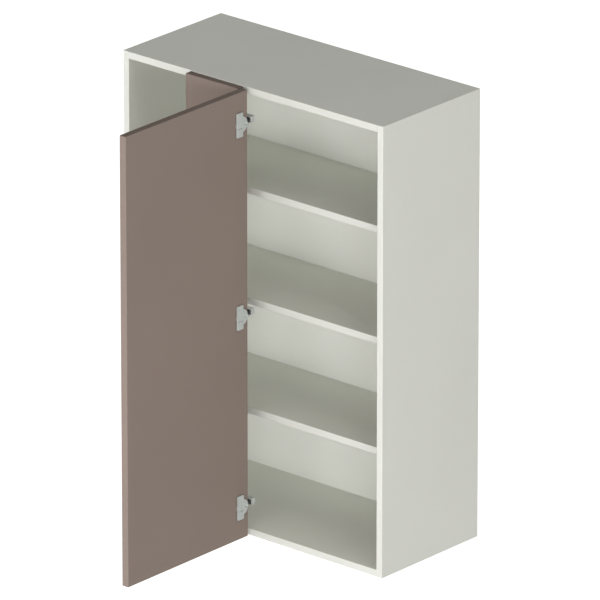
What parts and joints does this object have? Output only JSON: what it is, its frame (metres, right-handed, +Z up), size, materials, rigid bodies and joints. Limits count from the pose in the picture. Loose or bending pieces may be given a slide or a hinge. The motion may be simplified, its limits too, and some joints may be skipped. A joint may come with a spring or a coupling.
{
  "type": "blind corner wall cabinet",
  "caption": "Tall wall cabinet for a blind corner: white box with shelves, a fixed blind front panel and a hinged door swung open, hung on adjustable hooks behind its back panel.",
  "frame": {"origin": "on the wall plane, at the middle of the cabinet's lower rear edge", "axes": "+X to the right as seen from the front, +Y towards the wall, +Z up"},
  "size_m": [0.75, 0.7297, 1.05],
  "materials": {
    "white_board": "satin melamine",
    "taupe_lacquer": "matt lacquer",
    "hinge_nickel": "nickel plated",
    "link_steel": "dull, oiled",
    "zinc_sheet": "zinc plated",
    "zinc_screw": "zinc plated",
    "black_plastic": "matt",
    "white_plastic": "satin",
    "beech": "raw"
  },
  "bodies": {
    "carcass": {"left_side_panel": "white_board", "right_side_panel": "white_board", "top_panel": "white_board", "bottom_panel": "white_board", "back_panel": "white_board", "shelf_upper": "white_board", "shelf_middle": "white_board", "shelf_lower": "white_board", "blind_front_panel": "taupe_lacquer", "hinge_arm_upper": "hinge_nickel", "hinge_mounting_plate_upper": "hinge_nickel", "hinge_arm_middle": "hinge_nickel", "hinge_mounting_plate_middle": "hinge_nickel", "hinge_arm_lower": "hinge_nickel", "hinge_mounting_plate_lower": "hinge_nickel", "hinge_arm_screws": "zinc_screw", "hinge_plate_screws": "zinc_screw", "blind_panel_screws": "zinc_screw", "hanger_fixing_screws": "zinc_screw", "hinge_arm_liners": "black_plastic", "blind_panel_brackets": "zinc_sheet", "hanger_housing_left": "zinc_sheet", "hanger_housing_right": "zinc_sheet", "carcass_dowels": "beech", "shelf_support_pegs": "zinc_screw", "hanger_access_caps": "white_plastic"},
    "door": {"door_panel": "taupe_lacquer", "hinge_cup_upper": "hinge_nickel", "hinge_cup_middle": "hinge_nickel", "hinge_cup_lower": "hinge_nickel", "hinge_cup_cap_upper": "hinge_nickel", "hinge_cup_cap_middle": "hinge_nickel", "hinge_cup_cap_lower": "hinge_nickel", "hinge_cup_screws": "zinc_screw", "hinge_cup_pins": "zinc_screw"},
    "hinge_links": {"hinge_link_upper": "link_steel", "hinge_link_middle": "link_steel", "hinge_link_lower": "link_steel", "hinge_link_pins": "zinc_screw"},
    "hook_left": {"hanger_hook_left": "zinc_sheet", "hanger_height_screw_left": "zinc_screw"},
    "hook_right": {"hanger_hook_right": "zinc_sheet", "hanger_height_screw_right": "zinc_screw"}
  },
  "joints": [
    {"name": "door_swing", "type": "hinge", "parent": "carcass", "child": "door", "pos_m": [-0.01835, -0.33835, 0.525], "axis": [0, 0, -1], "range_deg": [-90, 5]},
    {"name": "hinge_link_fold", "type": "hinge", "parent": "door", "child": "hinge_links", "pos_m": [-0.0072, -0.3409, 0.525], "axis": [0, 0, -1], "range_deg": [-3, 45]},
    {"name": "hook_left_lift", "type": "slide", "parent": "carcass", "child": "hook_left", "axis": [0, 0, 1], "range_m": [-0.006, 0.006]},
    {"name": "hook_right_lift", "type": "slide", "parent": "carcass", "child": "hook_right", "axis": [0, 0, 1], "range_m": [-0.006, 0.006]}
  ],
  "couplings": [
    {"joint": "hinge_link_fold", "follows": "door_swing", "ratio": -0.48}
  ]
}
